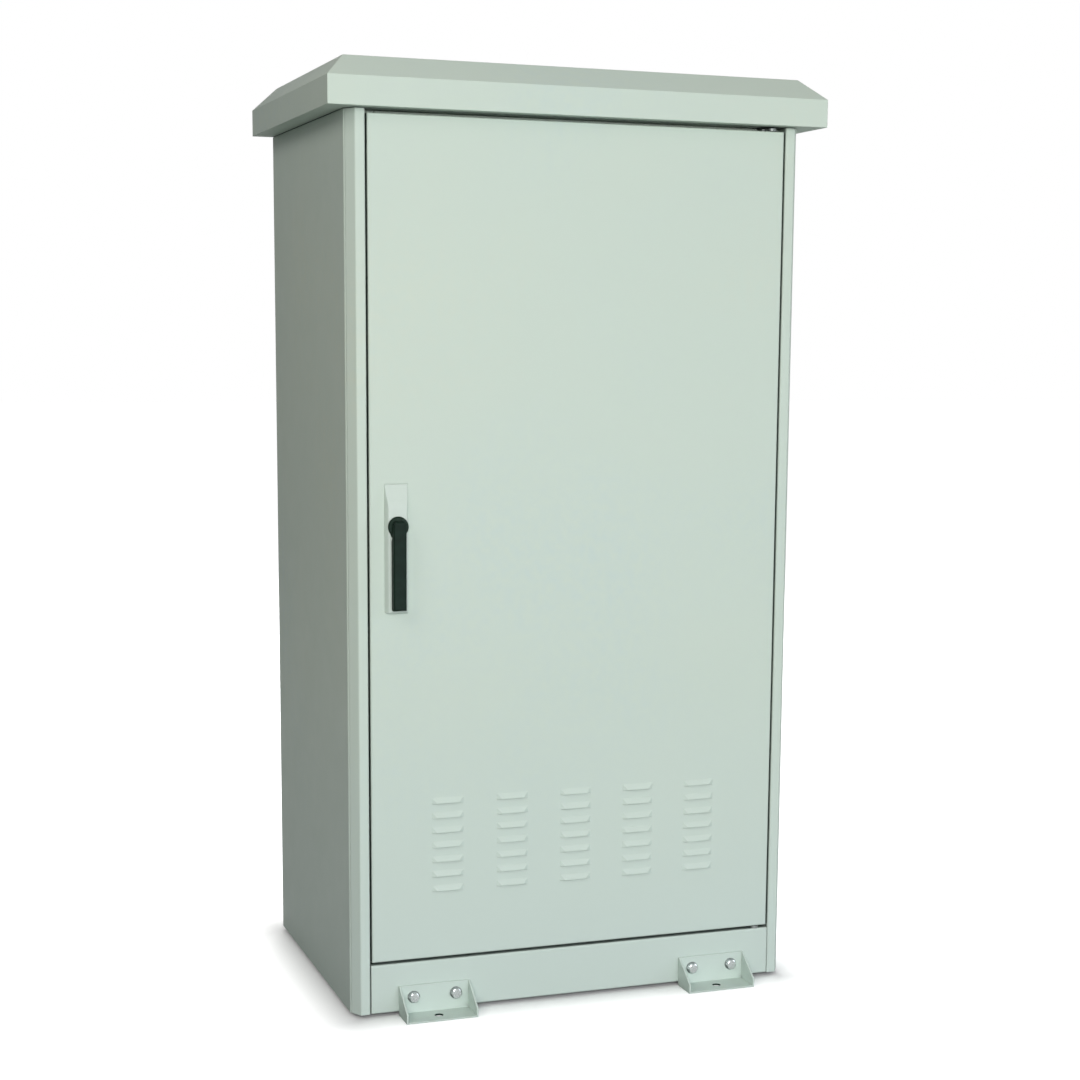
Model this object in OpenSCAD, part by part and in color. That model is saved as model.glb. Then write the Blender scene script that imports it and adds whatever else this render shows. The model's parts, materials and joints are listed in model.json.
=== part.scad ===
// Roadside utility cabinet: a folded-sheet body on anchor brackets, with a hipped roof cap,
// one louvred door on pivot pins and a lever lock that drives two rods by rack and pinion.
// Millimetres. Origin on the ground under the middle of the cabinet, +X right, +Y back, +Z up.

/* [Body] */
// Width across the side panels
body_w = 800; // [760:10:1000]
// Depth from the face of the front posts to the rear panel
body_d = 570; // [540:10:800]
// Length of the corner posts
post_h = 1498.5; // [1300:0.5:1800]
// Thickness of panels, posts and rails
sheet_t = 2; // [1.6:0.1:2.4]
// Outer radius of the folds
fold_r = 3; // [2.8:0.1:4]
// Clearance under the body, which stands on its anchor brackets
foot_gap = 6; // [4:0.5:10]

/* [Corner posts] */
// Front edge of the chamfer, from the side
chamfer_w = 13.5; // [10:0.5:18]
// Side edge of the chamfer, from the front
chamfer_d = 19.5; // [14:0.5:26]
// Side of the body to the wall of the door rebate
post_face = 30; // [26:0.5:40]
// Depth of the door rebate
rebate_d = 36; // [35:0.5:44]
// Sealing flange beside the lock edge of the door
lap_lock = 24; // [20:1:26]
// Sealing flange beside the hinge edge of the door
lap_hinge = 44; // [41:1:54]
// Inner wall behind the sealing flange
post_return = 30; // [20:1:36]
// Landing flange that the side panel laps over
post_flange = 42; // [30:1:46]
// Flanges of the rear posts
rear_flange = 62; // [50:1:80]
// Stiffening lips of the rear posts
rear_lip = 18; // [10:1:26]
// Seam between neighbouring sheets
panel_seam = 1.5; // [0.8:0.1:2.5]

/* [Rails and floor] */
// Height of the head rails
rail_h = 42; // [36:1:52]
// Flange of the rails
rail_flange = 38; // [32:1:44]
// Height of the plinth under the door
plinth_h = 85; // [75:1:120]
// Sealing flange above the lower edge of the door
sill_up = 34; // [32:1:44]
// Clearance round the floor and ceiling plates
plate_fit = 0.5; // [0.4:0.1:1]
// Floor plate below the top of the plinth
floor_drop = 6; // [5:0.5:16]
// Screws down each edge of the rear panel
rear_screws = 6; // [3:1:10]
// Edge distance of the rear panel screws
rear_screw_edge = 32; // [20:1:44]
// Radius of the rear panel screws
rear_screw_r = 3; // [2:0.5:4]

/* [Roof] */
// Gap between the posts and the roof
roof_gap = 1.5; // [1:0.1:4]
// Overhang at each side
roof_side = 36; // [20:1:60]
// Overhang at the front
roof_front = 24; // [12:1:40]
// Overhang at the rear
roof_rear = 8; // [4:1:40]
// Height of the upright fascia
fascia_h = 46; // [30:1:70]
// Rise of the hips
hip_h = 36; // [20:1:60]
// Run of the hips at the sides
hip_side = 36; // [20:1:60]
// Run of the hips at the front and rear
hip_front = 46; // [20:1:70]
// Underside lip, measured inwards from the faces of the body
roof_lip = 72; // [66:1:90]
// Roof bolts from the middle, as a share of the width
roof_bolt_share = 0.29; // [0.2:0.01:0.32]
// Radius of the roof bolts
roof_bolt_r = 4; // [3:0.5:5]

/* [Door] */
// Gap at each side of the door
door_gap = 3.5; // [3:0.1:5]
// Top of the door below the post tops
door_top_gap = 6.5; // [5.5:0.1:8]
// Gap between the door and the plinth
sill_gap = 5; // [4.5:0.1:7]
// Depth of the folded door edges
door_depth = 25; // [22:0.5:26]
// Folded door edge beyond the gasket
gasket_margin = 3; // [1:0.5:4]
// Width of the foam gasket
gasket_w = 12; // [8:0.5:13]
// Gasket to the lock edge of the door
gasket_lock = 7; // [5:0.5:8]
// Gasket to the hinge edge of the door
gasket_hinge = 25; // [24:0.5:27]
// Gasket to the top and bottom edges of the door
gasket_end = 18; // [16:0.5:18]
// Clearance from the shut gasket to the sealing flange
gasket_gap = 0.3; // [0.2:0.05:0.6]
// Width of the door stiffeners
stiffener_w = 30; // [20:1:44]
// Depth of the door stiffeners
stiffener_d = 18; // [10:1:20]
// Stiffeners from the middle of the door, as a share of its width
stiffener_share = 0.24; // [0.15:0.01:0.28]

/* [Louvres] */
// Columns of louvres
louvre_cols = 5; // [3:1:5]
// Rows of louvres
louvre_rows = 7; // [3:1:10]
// Length of a louvre
louvre_l = 56; // [36:1:70]
// Height of a louvre
louvre_h = 11; // [8:0.5:15]
// How far a louvre stands out of the door
louvre_out = 3.5; // [3:0.5:7]
// Run of the sloping ends of a louvre
louvre_end = 8; // [4:0.5:12]
// Straight lip at the mouth of a louvre
louvre_lip = 2; // [1:0.5:3]
// Drawn thickness of the louvre wall
louvre_t = 1.2; // [0.8:0.1:1.5]
// Width of the louvre field, as a share of the door's width
field_share = 0.706; // [0.6:0.002:0.71]
// Louvre field off the middle of the door
field_shift = -3; // [-4:1:10]
// Distance between rows
louvre_pitch_z = 25.4; // [20:0.1:32]
// Mouth of the lowest row above the underside of the body
louvre_z = 206; // [170:1:260]
// Depth of the filter frame
filter_d = 14; // [8:1:20]
// Margin of the filter frame round the louvres
filter_margin = 14; // [10:1:24]
// Lip that holds the filter pad
filter_lip = 8; // [4:1:12]
// Clearance round the filter pad
filter_play = 0.4; // [0.3:0.1:0.9]

/* [Hinges] */
// Pivot from the hinge edge of the door
hinge_inset = 20; // [18:0.5:22]
// Pivot behind the face of the door
hinge_setback = 9; // [8.5:0.5:10]
// Radius of the hinge pins
pin_r = 4; // [3:0.5:4.5]
// Radial clearance of running fits
pin_play = 0.05; // [0.02:0.01:0.1]
// Radius of the hinge bushes
bush_r = 6; // [5.5:0.5:6.5]
// Length of the hinge bushes
bush_l = 12; // [8:1:20]
// Flange radius of the hinge bushes
bush_flange_r = 8; // [7:0.5:8.5]
// Thickness of the hinge brackets
hinge_t = 4; // [3:0.1:4]
// Width of the hinge brackets
hinge_w = 28; // [20:1:34]
// Clearance between bushes and brackets
thrust_gap = 0.2; // [0.1:0.05:0.4]
// Clearance of the notch for the upper hinge bracket
hinge_gap = 0.3; // [0.2:0.05:0.5]

/* [Lock] */
// Spindle of the lock above the underside of the body
lock_h = 831; // [700:1:900]
// Spindle of the lock from the lock edge of the door
lock_backset = 44.5; // [44:0.5:50]
// Width of the handle housing on the door
housing_w = 40; // [38:0.5:46]
// Width of the handle housing across its face
housing_face_w = 32.5; // [28:0.5:36]
// How far the handle housing stands out
housing_out = 12.5; // [9:0.5:18]
// Housing above the spindle
housing_top = 70; // [60:1:90]
// Housing below the spindle
housing_low = 145; // [140:1:170]
// Length of the slope at the top of the housing
housing_slope = 34; // [20:1:44]
// Bow of the lower end of the housing
housing_bow = 2.5; // [1:0.5:5]
// Rounding of the housing's edges
housing_round = 3; // [1:0.5:5]
// Rounding of the crest where the slope starts
housing_crest = 60; // [20:5:80]
// Radius of the handle boss
boss_r = 17.2; // [14:0.1:18]
// Chin of the boss below the spindle
boss_chin = 17; // [12:0.5:20]
// Thickness of the handle boss
boss_h = 5; // [3:0.5:7]
// Bevel of the handle boss
boss_bevel = 1.5; // [0.5:0.25:2]
// Clearance between the handle parts
handle_gap = 0.3; // [0.2:0.05:0.6]
// Radius of the spindle
spindle_r = 7; // [6:0.5:8]
// Radius of the spindle's inner journal
journal_r = 4; // [3:0.5:5]
// Width of the lever
lever_w = 22.5; // [18:0.5:26]
// Thickness of the lever
lever_t = 13.5; // [10:0.5:18]
// Length of the lever below the spindle
lever_l = 138; // [110:1:139]
// Chamfer at the free end of the lever
lever_chamfer = 3; // [1:0.5:4]
// Rounding of the lever's long edges
lever_round = 3.5; // [1:0.5:5]
// Radius of the lever's hinge knuckle
knuckle_r = 5; // [4.5:0.25:6]
// Radius of the lug that carries the lever
lug_r = 3.3; // [3:0.1:3.4]
// Width of the lug
lug_w = 8; // [6:0.5:10]
// Radius of the lever pin
lever_pin_r = 1.75; // [1.25:0.25:2]
// Module of the pinion and racks
gear_module = 2; // [1.8:0.1:2.2]
// Teeth of the pinion
gear_teeth = 12; // [12:2:12]
// Pressure angle of the teeth
gear_angle = 25; // [25:1:27]
// Backlash at the pitch line
gear_backlash = 0.3; // [0.2:0.05:0.5]
// Width of the lock rods
rod_w = 6; // [5:0.5:7]
// Thickness of the lock rods
rod_t = 5; // [4:0.5:6]
// Rods behind the face of the door, beside the pinion
rod_setback = 8; // [7:0.5:9]
// Rod ends behind the face of the door
rod_end_setback = 42; // [40:0.5:50]
// Rod ends short of the keeper slots
rod_tip_gap = 1; // [0.5:0.1:2]
// Clearance round the rods
rod_play = 0.4; // [0.3:0.05:0.6]
// Half height of the lock case
case_h = 36; // [34:1:50]
// Height of the crank near the end of a rod
crank_h = 60; // [50:1:90]
// Straight end of a rod beyond its crank
crank_tail = 50; // [40:1:80]
// Clearance of the keeper slots round the rods
keeper_play = 1.5; // [1:0.1:2]
// Teeth of a rack behind the pinion
teeth_back = 2; // [2:1:3]

/* [Anchor brackets] */
// Width of a bracket
bracket_w = 126; // [110:1:160]
// How far a bracket stands out
bracket_d = 53; // [48:1:70]
// Height of a bracket above the ground
bracket_h = 51.5; // [46:0.5:70]
// Thickness of a bracket
bracket_t = 3; // [2:0.5:4]
// Outer radius of the bracket's fold
bracket_fold = 5; // [4.5:0.5:6]
// Height of the gussets at the front
bracket_nose = 16; // [8:1:24]
// Brackets from the middle of the body, as a share of its width
bracket_share = 0.3225; // [0.25:0.0025:0.36]
// Distance between the two bolts of a bracket
bolt_spacing = 75; // [60:1:86]
// Bolts above the ground
bolt_z = 31; // [28:0.5:34]
// Radius of the bolts
bolt_r = 5; // [4:0.5:6]
// Radial clearance of the bolt holes
bolt_play = 0.5; // [0.2:0.1:1]
// End of a bolt beyond its nut
bolt_tail = 2; // [1:0.5:6]
// Hexagon of the bolts and nuts, across flats
bolt_af = 16; // [13:0.5:18]
// Height of the bolt heads
bolt_head = 6.4; // [5:0.1:8]
// Flat on the crown of a bolt head or nut, as a share of the hexagon
crown_share = 0.93; // [0.85:0.01:0.98]
// Height of the nuts
nut_h = 8; // [6:0.5:10]
// Radius of the washers
washer_r = 10.5; // [9.5:0.5:12]
// Thickness of the washers
washer_t = 2; // [1.5:0.1:2.5]
// Anchor hole in front of the plinth
anchor_out = 29; // [24:1:36]
// Radius of the anchor hole
anchor_r = 7; // [5:0.5:9]

/* [Rack] */
// Clear opening between the mounting rails
rack_open = 451; // [450:0.5:452]
// Row of mounting holes from the opening
rack_hole_in = 7.05; // [6.5:0.05:8]
// Face of the mounting rails
rack_face = 22; // [20:1:26]
// Side flange of the mounting rails
rack_side = 30; // [20:1:40]
// Mounting rails behind the front and before the rear of the body
rack_setback = 90; // [84:1:120]
// Square mounting hole
rack_hole = 9.5; // [9:0.1:9.8]
// Height of one mounting unit
rack_unit = 44.45; // [44.45:0.05:44.45]

/* [Fans and cable entries] */
// Width of a fan frame
fan_w = 120; // [100:1:140]
// Depth of a fan frame
fan_d = 38; // [25:1:40]
// Fans from the middle of the ceiling
fan_x = 110; // [75:1:140]
// Wall of a fan frame at its narrowest
fan_wall = 3; // [2:0.5:5]
// Clearance round the blade tips
fan_tip_gap = 2; // [1:0.5:3]
// Radius of the fan hub
hub_r = 22; // [18:1:26]
// Height of the fan motor
motor_h = 7.5; // [5:0.5:9]
// Struts that carry the fan motor
strut_w = 6; // [4:0.5:8]
// Radius of the fan shaft
fan_pin_r = 2.75; // [2:0.25:4]
// Thickness of the finger guards
guard_t = 1.5; // [1:0.25:3]
// Width of the bars of the finger guards
guard_bar = 3; // [2:0.5:4]
// Rings of a finger guard
guard_rings = 4; // [3:1:6]
// Blades of a fan
blades = 7; // [3:1:9]
// Thickness of a blade
blade_t = 2.5; // [1.5:0.5:3]
// Pitch of a blade
blade_pitch = 35; // [25:1:40]
// Cable entries in the floor
entries = 4; // [1:1:5]
// Distance between cable entries
entry_pitch = 120; // [90:1:130]
// Radius of the clear cable entry
entry_r = 25; // [15:1:30]
// Wall of a grommet between cable and floor plate
grommet_wall = 5; // [3:0.5:6]
// Clearance of a grommet in its hole
grommet_play = 0.2; // [0.1:0.05:0.4]
// Lips of a grommet
grommet_lip = 4; // [3:0.5:6]
// Cable entries behind the middle of the floor
entry_y = 60; // [0:1:90]

/* [Hidden] */
$fn = 48;

paint = "#c9d6cb";
black = "#27332d";
zinc = "#b9bdbf";
galvanised = "#a9afb0";
rubber = "#1d1f1e";
foam = "#3a3d3b";

overrun = 1;
fold_steps = 4;
flank_steps = 5;
knuckle_steps = 12;
bow_steps = 4;

// Heights
base_z = foot_gap;
sill_z = base_z + plinth_h;
floor_z = sill_z - floor_drop;
door_z = sill_z + sill_gap;
post_top = base_z + post_h;
door_top = post_top - door_top_gap;
roof_z = post_top + roof_gap;
head_z = roof_z - rail_h;
seal_z = door_z + sill_up;
ceiling_z = head_z + sheet_t;
lock_z = base_z + lock_h;
door_h = door_top - door_z;

// Places across and along the body
front_y = -body_d / 2;
rear_y = body_d / 2;
door_left = -body_w / 2 + post_face + door_gap;
door_right = -door_left;
door_w = door_right - door_left;
left_in = -body_w / 2 + post_face + lap_lock;
right_in = body_w / 2 - post_face - lap_hinge;
hinge_x = door_right - hinge_inset;
hinge_y = front_y + hinge_setback;
lock_x = door_left + lock_backset;
front_post_d = rebate_d + post_return;
side_rail_y = front_y + chamfer_d + post_flange;
side_rail_l = rear_y - rear_flange - side_rail_y;
roof_bolt_x = roof_bolt_share * body_w;
bracket_x = bracket_share * body_w;
stiffener_x = stiffener_share * door_w;

// Door edges and gasket
return_lock = gasket_lock + gasket_w + gasket_margin;
return_hinge = gasket_hinge + gasket_w + gasket_margin;
return_end = gasket_end + gasket_w + gasket_margin;

// Louvre field
field_w = field_share * door_w;
louvre_pitch_x = (field_w - louvre_l) / (louvre_cols - 1);
field_h = (louvre_rows - 1) * louvre_pitch_z + louvre_h;
field_z = base_z + louvre_z;
filter_w = field_w + 2 * filter_margin;
filter_h = field_h + 2 * filter_margin;
filter_z = field_z - filter_margin;

// Handle, measured outwards from the door face
boss_back = housing_out + handle_gap;
boss_front = boss_back + boss_h;
knuckle_out = boss_front + handle_gap + knuckle_r;
knuckle_z = lever_w / 2 - knuckle_r;
lever_gap = 2 * handle_gap;
lever_back = housing_out + lever_gap;
lever_front = lever_back + lever_t;
lever_step = boss_chin + lever_chamfer;
lever_top = knuckle_out + knuckle_r;
lever_lean = atan((lever_top - lever_front) / (lever_l - lever_chamfer - knuckle_z));
pocket_front = knuckle_out + lug_r + handle_gap;
pocket_w = lug_w + 2 * handle_gap;

// Rack and pinion
dedendum_share = 1.25;
pitch_r = gear_module * gear_teeth / 2;
gear_base_r = pitch_r * cos(gear_angle);
gear_tip_r = pitch_r + gear_module;
gear_dedendum = gear_module * dedendum_share;
gear_root_r = pitch_r - gear_dedendum;
tooth_pitch = PI * gear_module;
gear_travel = pitch_r * PI / 2;
teeth_ahead = ceil(gear_travel / tooth_pitch) + 1;
pinion_w = rod_t + 2 * rod_play;
rod_off = pitch_r + gear_dedendum + rod_w / 2;
case_in = rod_off + rod_w / 2 + rod_play;
case_d = rod_setback + rod_t + rod_w;
rod_fold_r = rod_t + fold_r;
guide_shares = [0.35, 0.85];

// Hinges
bush_flange_t = sill_gap - hinge_t - thrust_gap;
hinge_top_z = door_top + sill_gap - hinge_t;

// Fasteners
bolt_hole_r = bolt_r + bolt_play;
screw_head_r = 2 * rear_screw_r;
roof_bolt_head = 2 * roof_bolt_r;
bracket_sides = [-1, 1];

// Rack holes as shares of a mounting unit
rack_hole_shares = [1 / 7, 1 / 2, 6 / 7];
rack_l = ceiling_z - floor_z - sheet_t;
rack_units = floor(rack_l / rack_unit);

// Fans
fan_z = ceiling_z - fan_d;
fan_bore_r = fan_w / 2 - fan_wall;
fan_tip_r = fan_bore_r - fan_tip_gap;

// Unit vector along v
function unit(v) = v / norm(v);

// Vector v turned by angle a
function turned(v, a) = [v[0] * cos(a) - v[1] * sin(a), v[0] * sin(a) + v[1] * cos(a)];

// Normal to the left of the line from a to b
function left_of(a, b) = turned(unit(b - a), 90);

// Arc of radius r that rounds corner b of the path a, b, c
function bend(a, b, c, r) =
    let (d0 = unit(b - a), d1 = unit(c - b))
    let (turn = atan2(d0[0] * d1[1] - d0[1] * d1[0], d0 * d1))
    let (start = b - d0 * r * tan(abs(turn) / 2))
    let (arm = turned(d0, turn > 0 ? -90 : 90) * r)
    [for (k = [0:fold_steps]) start - arm + turned(arm, turn * k / fold_steps)];

// Open path p with its inner corners rounded
function rounded(p, r) = concat(
    [p[0]],
    [for (i = [1:len(p) - 2]) each bend(p[i - 1], p[i], p[i + 1], r)],
    [p[len(p) - 1]]
);

// Open path p moved to its left by d, with mitred corners
function moved(p, d) = [
    for (i = [0:len(p) - 1])
        let (n0 = left_of(p[max(i - 1, 0)], p[max(i, 1)]))
        let (n1 = left_of(p[min(i, len(p) - 2)], p[min(i + 1, len(p) - 1)]))
        let (m = n0 + n1)
        p[i] + d * 2 * m / (m * m)
];

// Outline of a folded sheet whose visible face follows path p, with its thickness on the left
function sheet_outline(p, t, r) =
    let (face = rounded(p, r))
    let (back = moved(face, t))
    concat(face, [for (i = [len(back) - 1:-1:0]) back[i]]);

// Extrudes a (y, z) outline along X
module along_x(l) {
    rotate([90, 0, 90]) linear_extrude(l) children();
}

// Extrudes an (x, z) outline along Y
module along_y(l) {
    translate([0, l, 0]) rotate([90, 0, 0]) linear_extrude(l) children();
}

// A cylinder along Y, from y = 0 to y = l
module rod_y(r, l, fn = $fn) {
    rotate([-90, 0, 0]) cylinder(r = r, h = l, $fn = fn);
}

module both_sides() {
    for (s = [0, 1]) mirror([s, 0, 0]) children();
}

module other_side() {
    mirror([1, 0, 0]) children();
}

// Corner posts

module front_post(lap) {
    path = [
        [sheet_t, chamfer_d + post_flange],
        [sheet_t, chamfer_d],
        [chamfer_w, 0],
        [post_face, 0],
        [post_face, rebate_d],
        [post_face + lap, rebate_d],
        [post_face + lap, front_post_d]
    ];
    translate([-body_w / 2, front_y, base_z])
        linear_extrude(post_h) polygon(sheet_outline(path, sheet_t, fold_r));
}

module post_front_left() {
    color(paint) front_post(lap_lock);
}

// The upper hinge bracket passes through a notch in the sealing flange
module post_front_right() {
    notch_w = hinge_w + 2 * hinge_gap;
    color(paint) difference() {
        other_side() front_post(lap_hinge);
        translate([hinge_x - notch_w / 2, front_y + rebate_d - overrun, hinge_top_z - hinge_gap])
            cube([notch_w, sheet_t + 2 * overrun, post_top]);
    }
}

// Places of the screws down one edge of the rear panel
module at_rear_screws() {
    pitch = (post_top - sill_z) / rear_screws;
    for (i = [0:rear_screws - 1])
        translate([-body_w / 2 + rear_screw_edge, rear_y, sill_z + pitch * (i + 0.5)]) children();
}

module rear_post() {
    path = [
        [sheet_t + rear_lip, rear_flange],
        [sheet_t, rear_flange],
        [sheet_t, sheet_t],
        [rear_flange, sheet_t],
        [rear_flange, sheet_t + rear_lip]
    ];
    difference() {
        translate([-body_w / 2, rear_y, base_z])
            mirror([0, 1, 0]) linear_extrude(post_h) polygon(sheet_outline(path, sheet_t, fold_r));
        at_rear_screws() translate([0, -2 * sheet_t - overrun, 0])
            rod_y(rear_screw_r + pin_play, 2 * (sheet_t + overrun));
    }
}

module post_rear_left() {
    color(paint) rear_post();
}

module post_rear_right() {
    color(paint) other_side() rear_post();
}

// Head rails

// Places of the roof bolts on the front and rear head rails
module at_roof_bolts() {
    for (y = [front_y + rebate_d + rail_flange / 2, rear_y - sheet_t - rail_flange / 2])
        for (x = [-roof_bolt_x, roof_bolt_x])
            translate([x, y, roof_z]) children();
}

module roof_bolt_holes() {
    at_roof_bolts() translate([0, 0, -sheet_t - overrun])
        cylinder(r = roof_bolt_r + pin_play, h = 2 * (sheet_t + overrun));
}

// Slot that a lock rod enters when the lever is shut
module keeper_slot(x, z) {
    translate([x - rod_w / 2 - keeper_play, front_y + rod_end_setback - keeper_play, z - sheet_t - overrun])
        cube([rod_w + 2 * keeper_play, rod_t + 2 * keeper_play, 2 * (sheet_t + overrun)]);
}

module head_rail_front() {
    path = [
        [rebate_d + rail_flange, roof_z],
        [rebate_d, roof_z],
        [rebate_d, head_z],
        [front_post_d, head_z]
    ];
    color(paint) difference() {
        translate([left_in, front_y, 0])
            along_x(right_in - left_in) polygon(sheet_outline(path, sheet_t, fold_r));
        keeper_slot(lock_x - rod_off, head_z);
        roof_bolt_holes();
    }
}

function head_path() = [
    [sheet_t + rail_flange, roof_z],
    [sheet_t, roof_z],
    [sheet_t, head_z],
    [sheet_t + rail_flange, head_z]
];

module head_rail_rear() {
    span = body_w - 2 * rear_flange;
    color(paint) difference() {
        translate([-span / 2, rear_y, 0])
            mirror([0, 1, 0]) along_x(span) polygon(sheet_outline(head_path(), sheet_t, fold_r));
        roof_bolt_holes();
    }
}

module side_head_rail() {
    translate([-body_w / 2, side_rail_y, 0])
        along_y(side_rail_l) polygon(sheet_outline(head_path(), sheet_t, fold_r));
}

module head_rail_left() {
    color(paint) side_head_rail();
}

module head_rail_right() {
    color(paint) other_side() side_head_rail();
}

// Base rails

// Places of all bracket bolts, with -Y pointing out of the plinth
module at_bracket_bolts() {
    for (turn = [0, 180])
        for (s = bracket_sides)
            for (b = bracket_sides)
                rotate([0, 0, turn])
                    translate([s * bracket_x + b * bolt_spacing / 2, front_y, bolt_z]) children();
}

module bracket_bolt_holes() {
    at_bracket_bolts() translate([0, -overrun, 0]) rod_y(bolt_hole_r, sheet_t + 2 * overrun);
}

module base_rail_front() {
    start = -body_w / 2 + post_face + panel_seam;
    wing_d = rebate_d - panel_seam;
    path = [
        [front_post_d, seal_z],
        [rebate_d, seal_z],
        [rebate_d, sill_z],
        [0, sill_z],
        [0, base_z],
        [rail_flange, base_z]
    ];
    color(paint) difference() {
        translate([start, front_y, 0])
            along_x(-2 * start) polygon(sheet_outline(path, sheet_t, fold_r));
        translate([start - overrun, front_y + wing_d, base_z - overrun])
            cube([left_in - start + overrun, front_post_d, seal_z]);
        translate([right_in, front_y + wing_d, base_z - overrun])
            cube([-start - right_in + overrun, front_post_d, seal_z]);
        keeper_slot(lock_x + rod_off, seal_z);
        bracket_bolt_holes();
    }
}

module base_rail_rear() {
    start = -body_w / 2 + sheet_t + panel_seam;
    path = [[rail_flange, sill_z], [0, sill_z], [0, base_z], [rail_flange, base_z]];
    color(paint) difference() {
        translate([start, rear_y, 0])
            mirror([0, 1, 0]) along_x(-2 * start) polygon(sheet_outline(path, sheet_t, fold_r));
        both_sides()
            translate([start - overrun, rear_y - sheet_t - front_post_d, base_z - overrun])
                cube([rear_flange - sheet_t + overrun, front_post_d, sill_z]);
        bracket_bolt_holes();
    }
}

module side_base_rail() {
    path = [
        [sheet_t + rail_flange, floor_z],
        [sheet_t, floor_z],
        [sheet_t, base_z],
        [sheet_t + rail_flange, base_z]
    ];
    translate([-body_w / 2, side_rail_y, 0])
        along_y(side_rail_l) polygon(sheet_outline(path, sheet_t, fold_r));
}

module base_rail_left() {
    color(paint) side_base_rail();
}

module base_rail_right() {
    color(paint) other_side() side_base_rail();
}

// Floor and ceiling

// Places of the cable entries on the floor plate
module at_entries() {
    for (i = [0:entries - 1])
        translate([(i - (entries - 1) / 2) * entry_pitch, entry_y]) children();
}

module base_plate() {
    side_x = body_w / 2 - sheet_t - plate_fit;
    main_front = front_y + front_post_d + plate_fit;
    main_rear = rear_y - rear_flange - plate_fit;
    rear_x = body_w / 2 - rear_flange - plate_fit;
    color(galvanised) translate([0, 0, floor_z]) linear_extrude(sheet_t) difference() {
        union() {
            translate([-side_x, main_front]) square([2 * side_x, main_rear - main_front]);
            translate([left_in + plate_fit, front_y + rebate_d + sheet_t])
                square([right_in - left_in - 2 * plate_fit, front_post_d]);
            translate([-rear_x, main_rear - overrun])
                square([2 * rear_x, rear_y - sheet_t - main_rear + overrun]);
        }
        at_entries() circle(r = entry_r + grommet_wall + grommet_play);
    }
}

module cable_grommets() {
    seat_r = entry_r + grommet_wall;
    lip_r = seat_r + grommet_lip;
    color(rubber) at_entries() translate([0, 0, floor_z]) rotate_extrude() polygon([
        [entry_r, -grommet_lip],
        [lip_r, -grommet_lip],
        [lip_r, 0],
        [seat_r, 0],
        [seat_r, sheet_t],
        [lip_r, sheet_t],
        [lip_r, sheet_t + grommet_lip],
        [entry_r, sheet_t + grommet_lip]
    ]);
}

module ceiling_plate() {
    side_x = body_w / 2 - sheet_t - fold_r - plate_fit;
    front = front_y + front_post_d + plate_fit;
    color(galvanised) translate([0, 0, ceiling_z]) linear_extrude(sheet_t) difference() {
        translate([-side_x, front]) square([2 * side_x, rear_y - rear_flange - plate_fit - front]);
        for (s = bracket_sides) translate([s * fan_x, 0]) circle(r = fan_bore_r);
    }
}

// Roof

// Outside of the hipped cap, with its faces moved inwards by d
module roof_form(d) {
    half_w = body_w / 2 + roof_side;
    y0 = front_y - roof_front;
    y1 = rear_y + roof_rear;
    eave_z = roof_z + fascia_h;
    top_z = eave_z + hip_h;
    across = [
        [-half_w, roof_z + d],
        [-half_w, eave_z],
        [hip_side - half_w, top_z],
        [half_w - hip_side, top_z],
        [half_w, eave_z],
        [half_w, roof_z + d]
    ];
    along = [
        [y0, roof_z + d],
        [y0, eave_z],
        [y0 + hip_front, top_z],
        [y1 - hip_front, top_z],
        [y1, eave_z],
        [y1, roof_z + d]
    ];
    intersection() {
        translate([0, y0, 0]) along_y(y1 - y0) polygon(moved(across, -d));
        translate([-half_w, 0, 0]) along_x(2 * half_w) polygon(moved(along, -d));
    }
}

module roof_cap() {
    color(paint) difference() {
        roof_form(0);
        roof_form(sheet_t);
        translate([roof_lip - body_w / 2, front_y + roof_lip, roof_z - overrun])
            cube([body_w - 2 * roof_lip, body_d - 2 * roof_lip, sheet_t + 2 * overrun]);
        roof_bolt_holes();
    }
}

module roof_bolts() {
    color(zinc) at_roof_bolts() {
        translate([0, 0, -sheet_t - roof_bolt_r])
            cylinder(r = roof_bolt_head / cos(30), h = roof_bolt_r, $fn = 6);
        translate([0, 0, -sheet_t - roof_bolt_r])
            cylinder(r = roof_bolt_r, h = roof_bolt_r + 2 * sheet_t + roof_bolt_head);
    }
}

// Outer panels

// Plain sheet whose front edge carries on the slope of the post's chamfer
module side_panel() {
    front = front_y + chamfer_d + panel_seam;
    slope = sheet_t * chamfer_d / (chamfer_w - sheet_t);
    translate([-body_w / 2, 0, base_z]) linear_extrude(post_h) polygon([
        [0, front + slope],
        [sheet_t, front],
        [sheet_t, rear_y],
        [0, rear_y]
    ]);
}

module side_panel_left() {
    color(paint) side_panel();
}

module side_panel_right() {
    color(paint) other_side() side_panel();
}

module rear_panel() {
    half_w = body_w / 2 - sheet_t - panel_seam;
    color(paint) difference() {
        translate([-half_w, rear_y - sheet_t, sill_z + panel_seam])
            cube([2 * half_w, sheet_t, post_top - sill_z - panel_seam]);
        both_sides() at_rear_screws()
            translate([0, -sheet_t - overrun, 0]) rod_y(rear_screw_r + pin_play, sheet_t + 2 * overrun);
    }
}

module rear_panel_screws() {
    color(zinc) both_sides() at_rear_screws() {
        rod_y(screw_head_r, rear_screw_r);
        translate([0, -3 * sheet_t, 0]) rod_y(rear_screw_r, 3 * sheet_t + overrun);
    }
}

// Mounting rails

module rack_rail() {
    translate([-rack_open / 2, front_y + rack_setback, floor_z + sheet_t]) mirror([1, 0, 0]) {
        along_y(sheet_t) difference() {
            square([rack_face, rack_l]);
            for (u = [0:rack_units - 1])
                for (s = rack_hole_shares)
                    translate([rack_hole_in, (u + s) * rack_unit]) square(rack_hole, center = true);
        }
        translate([rack_face - sheet_t, 0, 0]) cube([sheet_t, rack_side, rack_l]);
    }
}

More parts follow.
